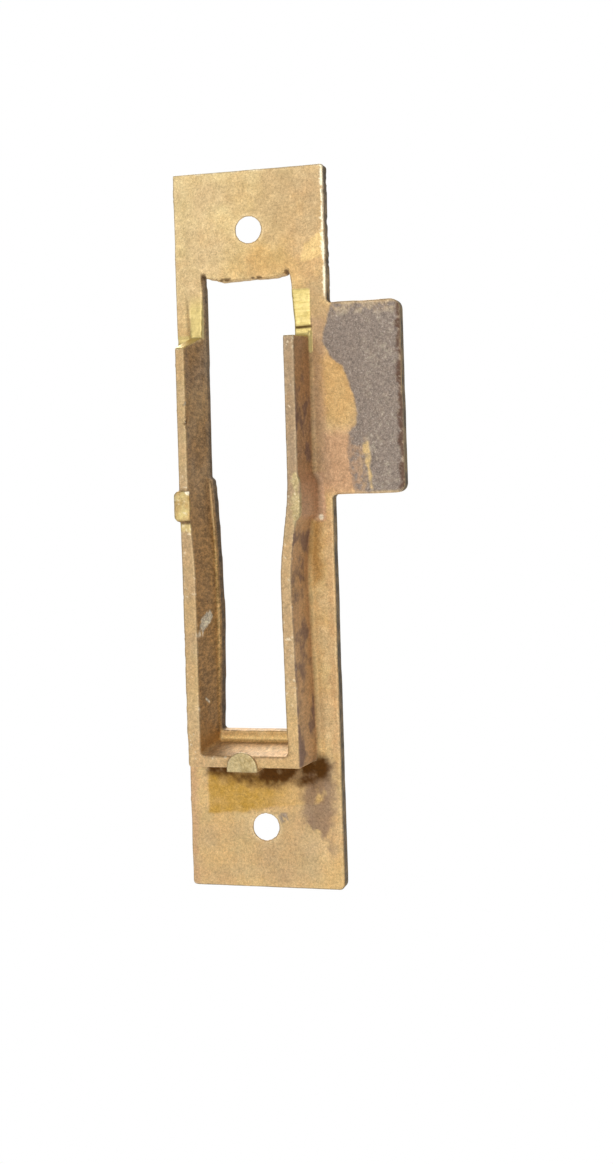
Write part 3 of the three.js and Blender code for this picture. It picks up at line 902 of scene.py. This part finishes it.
def scuffs_and_glints(s):
    """Small bright nicks: the dent and the scratch inside the left wall, chipped edges and specks, with
    painted highlights on the left boss's corner, the right pillar's foot and the plate's upper edges.
    """
    inner = soft(-7.2 - s.x, 0.4) * soft(s.x + 9.6, 0.3) * s.facing(TO_LIP, 0.2)
    height = (s.z - DENT_Z - DENT_TILT * (s.y - DENT_Y)) / 1.45
    spot = soft(1 - np.hypot(height, (s.y - DENT_Y) / 2.9) + 0.5 * s.mottle + 0.3 * s.grain, 0.4)
    scratch = soft(0.2 - np.abs(s.z + 29.8 + 0.5 * (s.y + 5)), 0.16) * soft(0.9 - np.abs(s.y + 5), 0.3)
    # Painted highlight: a bright spot on the left boss's upper right corner.
    boss_corner_glint = soft(0.6 - np.hypot(s.x + 9.3, s.z - LEFT_BOSS.z1 + 0.2), 0.3) * s.on_rim(0)
    # Painted highlight: a glint at the foot of the right pillar.
    pillar_foot_glint = soft(0.4 - np.hypot(s.x - 11.9, (s.z - RIGHT_BOSS.z0) * 0.8), 0.3)
    pillar_foot_glint = pillar_foot_glint * (np.abs(s.y + 1) < 1.5) * 0.8
    rims = soft(s.grain + 0.3 * s.drift - 0.7, 0.2) * 0.5 * s.on_rim()
    # Partly wear on the chipped edges, partly painted highlight: a bright line down the upper right
    # edge and flecks along the top edge.
    right_edge = soft(s.x - PLATE.x1 + 0.62 + 0.4 * s.mottle + 0.4 * s.grain, 0.2)
    right_edge = right_edge * soft(s.mottle + 0.5 * s.grain + 0.7, 0.5) * soft(s.z - 40, 2)
    top_edge = soft(s.z - PLATE.z1 + 0.3 + 0.15 * s.mottle, 0.2)
    flat = strongest(
        s.strip(15.5, 26.8, 36.6, 39.4, 0.8) * s.flecks(0.2, 0.5) * 0.22,
        s.strip(20.5, 26.8, 5.8, 38, 1.5) * s.flecks(0.42, 0.3) * 0.2,
        right_edge * 0.9,
        top_edge * s.flecks(0, 0.5) * 0.5,
    ) * s.seat_side
    return strongest(inner * spot * 0.85, inner * scratch, boss_corner_glint, pillar_foot_glint, rims, flat)


def satin(s):
    """The show face, which was finished smooth."""
    return s.show_side


def handled(s):
    """Brown patina on the show face, where neither the latch nor a hand keeps it bright."""
    near_window = soft(1.6 - np.maximum(np.abs(s.x) - 8.5, between(s.z, -36, 45)) + 0.8 * s.mottle, 2.5)
    near_edge = soft(1.4 - np.minimum(s.x - PLATE.x0, PLATE.z1 - np.abs(s.z)) + 0.7 * s.mottle, 2)
    cloud = soft(s.drift_wide + 0.6 * s.drift + 0.3 * s.mottle - 0.05, 1.1)
    return np.clip(0.35 * near_window + 0.35 * near_edge + 0.55 * cloud, 0, 1) * s.show_side


def latch(s):
    """The bright track that the latch bolt has rubbed across the lip."""
    track = soft(7.5 - np.abs(s.z - 22 + 0.8 * s.mottle), 3.5) * soft(s.x - 8, 2)
    return track * (0.75 + 0.35 * s.mottle) * s.show_side


MASKS = (
    filed, lined, rubbed, oxide, pale, gold, rust, dusty, fresh, grime_and_shade, ink_and_shade, pink, tarnish_and_shade, shaded_sides,
    wear, scuffs_and_glints, satin, handled, latch,
)


def add_masks(mesh, surface):
    """Each mask becomes an attribute with its function's name."""
    for mask in MASKS:
        layer = mesh.attributes.new(mask.__name__, "FLOAT", "POINT")
        layer.data.foreach_set("value", np.clip(mask(surface), 0, 1).astype(np.float32))


# ---- the brass material

# Stretches the noise into lines that run across the plate.
FILE_LINES = (0.25, 0.25, 2.3)
# And into lines that run along it.
BELT_LINES = (3.5, 0.5, 0.05)
# The grain is drawn out along the walls' height, the way the pattern left the sand.
CAST_GRAIN = (1, 0.4, 1)
BUMP_STRENGTH = 0.48
BUMP_DISTANCE = 0.1 * MM


class Graph:
    """Short forms for building a material's nodes."""

    def __init__(self, name):
        self.material = bpy.data.materials.new(name)
        self.material.use_nodes = True
        self.tree = self.material.node_tree
        self.tree.nodes.clear()
        metres = self.node("ShaderNodeTexCoord").outputs["Object"]
        self.place = self.scaled(metres, (1 / MM,) * 3)

    def node(self, kind):
        return self.tree.nodes.new(kind)

    def scaled(self, place, scale):
        node = self.node("ShaderNodeMapping")
        node.inputs["Scale"].default_value = scale
        self.join(place, node.inputs["Vector"])
        return node.outputs["Vector"]

    def join(self, source, socket):
        """Feeds a socket from another node's output, or sets it to a plain value."""
        if isinstance(source, bpy.types.NodeSocket):
            self.tree.links.new(source, socket)
        else:
            socket.default_value = source

    def mask(self, name):
        node = self.node("ShaderNodeAttribute")
        node.attribute_name = name
        return node.outputs["Fac"]

    def noise(self, scale, detail=3, roughness=0.6, stretch=None):
        node = self.node("ShaderNodeTexNoise")
        place = self.scaled(self.place, stretch) if stretch else self.place
        self.join(place, node.inputs["Vector"])
        node.inputs["Scale"].default_value = scale
        node.inputs["Detail"].default_value = detail
        node.inputs["Roughness"].default_value = roughness
        return node.outputs["Fac"]

    def math(self, operation, a, b=0.0, clamp=False):
        node = self.node("ShaderNodeMath")
        node.operation = operation
        node.use_clamp = clamp
        self.join(a, node.inputs[0])
        self.join(b, node.inputs[1])
        return node.outputs["Value"]

    def spread(self, value, low, high, to_low=0.0, to_high=1.0):
        """Stretches what lies between low and high over to_low and to_high."""
        node = self.node("ShaderNodeMapRange")
        self.join(value, node.inputs["Value"])
        limits = {"From Min": low, "From Max": high, "To Min": to_low, "To Max": to_high}
        for socket, number in limits.items():
            node.inputs[socket].default_value = number
        return node.outputs["Result"]

    def mix(self, share, a, b, blend="MIX"):
        """From one colour to another."""
        node = self.node("ShaderNodeMix")
        node.data_type = "RGBA"
        node.blend_type = blend
        self.join(share, node.inputs["Factor"])
        for source, socket in ((a, node.inputs[6]), (b, node.inputs[7])):
            self.join(source if isinstance(source, bpy.types.NodeSocket) else (*source, 1), socket)
        return node.outputs[2]

    def blend(self, share, a, b):
        """From one value to another."""
        node = self.node("ShaderNodeMix")
        self.join(share, node.inputs["Factor"])
        self.join(a, node.inputs[2])
        self.join(b, node.inputs[3])
        return node.outputs[0]


TONES = {
    "yellow": (0.8, 0.63, 0.325),
    "tan": (0.73, 0.485, 0.205),
    "olive": (0.56, 0.43, 0.2),
    "pink": (0.56, 0.335, 0.2),
    "dusty": (0.42, 0.31, 0.2),
    # Tarnish, also the colour of painted shade inside the box and on +X faces.
    "tarnish_and_shade": (0.4, 0.27, 0.15),
    "umber": (0.42, 0.25, 0.1),
    # Painted shade for the plate's +X sides and bottom edge.
    "shaded_sides": (0.1, 0.075, 0.045),
    "gold": (0.5, 0.285, 0.045),
    "rust": (0.48, 0.27, 0.085),
    "filed": (0.7, 0.56, 0.225),
    "filed_deep": (0.54, 0.42, 0.14),
    "rubbed": (0.57, 0.46, 0.24),
    "rubbed_deep": (0.38, 0.28, 0.11),
    "pale": (0.84, 0.6, 0.26),
    "oxide": (0.385, 0.305, 0.245),
    "oxide_dark": (0.24, 0.19, 0.15),
    "oxide_light": (0.64, 0.55, 0.46),
    # Dirt, also the colour of painted shade in hollows and under the left boss.
    "grime_and_shade": (0.1, 0.039, 0.006),
    # Ink smudges, also the colour of the painted shade along the lip's edge.
    "ink_and_shade": (0.17, 0.095, 0.075),
    "wear": (0.86, 0.68, 0.4),
    # Bright nicks, also the colour of painted highlights.
    "scuffs_and_glints": (0.86, 0.76, 0.55),
    "satin": (0.84, 0.62, 0.3),
    "satin_deep": (0.7, 0.49, 0.21),
    "handled": (0.46, 0.3, 0.13),
    "latch": (0.9, 0.72, 0.4),
}
COATS = (
    "satin", "handled", "latch", "pink", "dusty", "gold", "tarnish_and_shade", "rust", "shaded_sides", "oxide",
    "pale", "wear", "rubbed", "filed", "ink_and_shade", "grime_and_shade", "scuffs_and_glints",
)
THIN_COATS = {"latch": 0.6, "wear": 0.45}


def aged_colour(g):
    """Bare aged brass: tan where it has dulled, yellow where hands keep it fresh, and olive clouds."""
    drift = g.spread(g.noise(0.16, 4, 0.65), 0.32, 0.68, -0.45, 0.45)
    fresh = g.math("ADD", g.mask("fresh"), drift, clamp=True)
    clouds = g.spread(g.noise(0.3, 3, 0.6), 0.42, 0.64, 0.0, 0.5)
    colour = g.mix(fresh, TONES["tan"], TONES["yellow"])
    return g.mix(clouds, colour, TONES["olive"])


def oxide_colour(g):
    """Grey skin with dark pores and a few light specks."""
    pores = g.spread(g.noise(1.5, 5, 0.85), 0.42, 0.6)
    specks = g.spread(g.noise(3.4, 3, 0.9), 0.55, 0.66, 0.0, 0.8)
    colour = g.mix(pores, TONES["oxide"], TONES["oxide_dark"])
    return g.mix(specks, colour, TONES["oxide_light"])


# The tarnish coat's colour, which also serves as painted shade.
def tarnish_and_shade_colour(g):
    return g.mix(g.spread(g.noise(0.09, 3, 0.6), 0.4, 0.6), TONES["tarnish_and_shade"], TONES["umber"])


def filed_colour(g):
    lines = g.spread(g.noise(1.0, 3, 0.7, FILE_LINES), 0.42, 0.62)
    return g.mix(g.math("MULTIPLY", lines, g.mask("lined")), TONES["filed"], TONES["filed_deep"])


def rubbed_colour(g):
    return g.mix(g.spread(g.noise(1.1, 4, 0.75), 0.42, 0.66), TONES["rubbed"], TONES["rubbed_deep"])


def satin_colour(g):
    """Fine lines along the plate, left by the finishing belt."""
    lines = g.spread(g.noise(1.0, 4, 0.75, BELT_LINES), 0.35, 0.68)
    return g.mix(lines, TONES["satin"], TONES["satin_deep"])


def layered_colour(g):
    """The coats over the bare brass, from the oldest to the latest."""
    colour = aged_colour(g)
    uneven = {
        "satin": satin_colour(g),
        "tarnish_and_shade": tarnish_and_shade_colour(g),
        "oxide": oxide_colour(g),
        "rubbed": rubbed_colour(g),
        "filed": filed_colour(g),
    }
    for name in COATS:
        share = g.math("MULTIPLY", g.mask(name), THIN_COATS.get(name, 1.0))
        colour = g.mix(share, colour, uneven.get(name, TONES[name]))
    return speckled(g, colour)


def speckled(g, colour):
    """Cast grain: the whole surface flickers light and dark at a fraction of a millimetre."""
    fine = g.spread(g.noise(2.2, 3, 0.9, CAST_GRAIN), 0.3, 0.7, 0.68, 1.3)
    coarse = g.spread(g.noise(0.8, 3, 0.6), 0.35, 0.65, 0.95, 1.04)
    dark_walls = g.spread(g.noise(1.5, 4, 0.85, CAST_GRAIN), 0.4, 0.6, 0.62, 1.36)
    coarse = g.blend(g.mask("tarnish_and_shade"), coarse, dark_walls)
    grain = g.math("MULTIPLY", fine, coarse)
    grey = g.node("ShaderNodeCombineColor")
    for socket in ("Red", "Green", "Blue"):
        g.join(grain, grey.inputs[socket])
    share = g.blend(g.mask("filed"), g.blend(g.mask("satin"), 1.0, 0.35), 0.4)
    return g.mix(share, colour, grey.outputs["Color"], "MULTIPLY")


# What each coat sets, in the order in which they lie over each other.
ROUGHNESS = {
    "satin": 0.33, "handled": 0.5, "latch": 0.25, "gold": 0.42, "dusty": 0.68, "oxide": 0.74,
    "tarnish_and_shade": 0.62, "shaded_sides": 0.8, "wear": 0.38, "filed": 0.42, "rubbed": 0.45, "grime_and_shade": 0.85,
    "scuffs_and_glints": 0.4,
}
BARE_METALLIC = 0.78
METALLIC = {"satin": 0.95, "oxide": 0.3, "shaded_sides": 0.2, "grime_and_shade": 0.05, "ink_and_shade": 0.3, "filed": 0.9}
BARE_SPECULAR = 0.5
SPECULAR = {"grime_and_shade": 0.12}


def coated(g, bare, coats):
    for name, value in coats.items():
        bare = g.blend(g.mask(name), bare, value)
    return bare


def bare_roughness(g):
    return g.spread(g.noise(0.7, 4, 0.65), 0.3, 0.7, 0.46, 0.66)


def brass_normal(g):
    """Cast grain everywhere, with file lines across the fresh cuts."""
    grain = g.noise(2.8, 4, 0.75, CAST_GRAIN)
    pits = g.spread(g.noise(1.2, 2, 0.5), 0.28, 0.4)
    cast = g.math("ADD", g.math("MULTIPLY", grain, 0.8), g.math("MULTIPLY", pits, 0.4))
    lines = g.noise(1.0, 3, 0.7, FILE_LINES)
    filed = g.math("MULTIPLY", g.mask("filed"), 0.8)
    height = g.blend(filed, cast, g.math("MULTIPLY", lines, g.math("MULTIPLY", g.mask("lined"), 1.1)))
    belt = g.math("MULTIPLY", g.noise(1.0, 4, 0.75, BELT_LINES), 0.25)
    height = g.blend(g.mask("satin"), height, belt)
    bump = g.node("ShaderNodeBump")
    bump.inputs["Strength"].default_value = BUMP_STRENGTH
    bump.inputs["Distance"].default_value = BUMP_DISTANCE
    g.join(height, bump.inputs["Height"])
    return bump.outputs["Normal"]


def aged_brass(name):
    g = Graph(name)
    shader = g.node("ShaderNodeBsdfPrincipled")
    g.join(layered_colour(g), shader.inputs["Base Color"])
    g.join(coated(g, bare_roughness(g), ROUGHNESS), shader.inputs["Roughness"])
    g.join(coated(g, BARE_METALLIC, METALLIC), shader.inputs["Metallic"])
    g.join(coated(g, BARE_SPECULAR, SPECULAR), shader.inputs["Specular IOR Level"])
    g.join(brass_normal(g), shader.inputs["Normal"])
    output = g.node("ShaderNodeOutputMaterial")
    g.join(shader.outputs["BSDF"], output.inputs["Surface"])
    return g.material


# ---- the pieces


def add_piece(name, mesh, field, material):
    points = np.zeros(3 * len(mesh.vertices), np.float32)
    mesh.vertices.foreach_get("co", points)
    surface = Surface(field, points.reshape(-1, 3).astype(float) / MM)
    add_masks(mesh, surface)
    mesh.materials.clear()
    mesh.materials.append(material)
    mesh.shade_smooth()
    mesh.normals_split_custom_set_from_vertices(surface.normal)
    piece = bpy.data.objects.new(name + "_cast", mesh)
    bpy.context.scene.collection.objects.link(piece)
    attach(piece, "root")
    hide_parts(name)


def build_casting():
    field = casting()
    points, quads = field_mesh(field)
    corners = [points[quads[:, i]] for i in range(3)]
    turned_in = np.einsum("ij,ij->", corners[0], np.cross(corners[1], corners[2])) < 0
    whole = mesh_from_arrays("casting", points, quads[:, ::-1] if turned_in else quads)
    material = aged_brass("aged_brass")
    for name, mesh in split_casting(whole):
        add_piece(name, mesh, field, material)


# ---- camera, light and floor

CAMERA_PLACE = (0.090973, -0.279511, 0.009594)
# In degrees: turned, tilted and rolled.
CAMERA_TURNS = (("Z", 16.24), ("X", 90.75), ("Z", -1.765))
LENS = 51.427
SENSOR_WIDTH = 36
LENS_SHIFT = -0.11346


def add_camera():
    data = bpy.data.cameras.new("camera")
    data.lens = LENS
    data.sensor_width = SENSOR_WIDTH
    data.shift_y = LENS_SHIFT
    data.clip_start = 0.01
    camera = bpy.data.objects.new("camera", data)
    place = Matrix.Translation(CAMERA_PLACE)
    for axis, degrees in CAMERA_TURNS:
        place = place @ Matrix.Rotation(math.radians(degrees), 4, axis)
    camera.matrix_world = place
    bpy.context.scene.collection.objects.link(camera)
    bpy.context.scene.camera = camera


def add_soft_light(name, place, size, watts):
    """A square light that faces the part."""
    data = bpy.data.lights.new(name, "AREA")
    data.size = size
    data.energy = watts
    light = bpy.data.objects.new(name, data)
    light.location = place
    light.rotation_mode = "QUATERNION"
    light.rotation_quaternion = (-Vector(place)).to_track_quat("-Z", "Y")
    light.visible_camera = False
    bpy.context.scene.collection.objects.link(light)


WORLD_LIGHT = (0.58, 0.58, 0.59, 1)
WHITE = (1, 1, 1, 1)


def add_world():
    """Even grey light all round, seen by the camera as a white backdrop."""
    world = bpy.data.worlds.new("studio")
    world.use_nodes = True
    tree = world.node_tree
    tree.nodes.clear()
    path = tree.nodes.new("ShaderNodeLightPath")
    choice = tree.nodes.new("ShaderNodeMixShader")
    output = tree.nodes.new("ShaderNodeOutputWorld")
    tree.links.new(path.outputs["Is Camera Ray"], choice.inputs["Fac"])
    for socket, colour in ((1, WORLD_LIGHT), (2, WHITE)):
        light = tree.nodes.new("ShaderNodeBackground")
        light.inputs["Color"].default_value = colour
        tree.links.new(light.outputs["Background"], choice.inputs[socket])
    tree.links.new(choice.outputs["Shader"], output.inputs["Surface"])
    bpy.context.scene.world = world


FLOOR_RADIUS = 0.8
FLOOR_Z = -0.5
FLOOR_LOOK = {
    "Base Color": (0.85, 0.85, 0.85, 1),
    "Roughness": 0.9,
    "Emission Color": WHITE,
    "Emission Strength": 0.42,
}


def add_floor():
    """A pale round floor, far below the part. Its glow brings it up to the backdrop's white."""
    mesh = bpy.data.meshes.new("floor")
    disc = bmesh.new()
    bmesh.ops.create_circle(disc, cap_ends=True, segments=96, radius=FLOOR_RADIUS)
    disc.to_mesh(mesh)
    disc.free()
    floor = bpy.data.objects.new("floor", mesh)
    floor.location.z = FLOOR_Z
    bpy.context.scene.collection.objects.link(floor)
    material = bpy.data.materials.new("pale_floor")
    material.use_nodes = True
    shader = material.node_tree.nodes["Principled BSDF"]
    for socket, value in FLOOR_LOOK.items():
        shader.inputs[socket].default_value = value
    mesh.materials.append(material)


build_casting()
add_camera()
add_soft_light("key_light", place=(0.0, -0.95, 0.14), size=0.6, watts=3.2)
add_soft_light("back_light", place=(-0.3, 0.6, 0.4), size=0.5, watts=3.5)
add_world()
add_floor()
bpy.context.scene.view_settings.view_transform = "Standard"
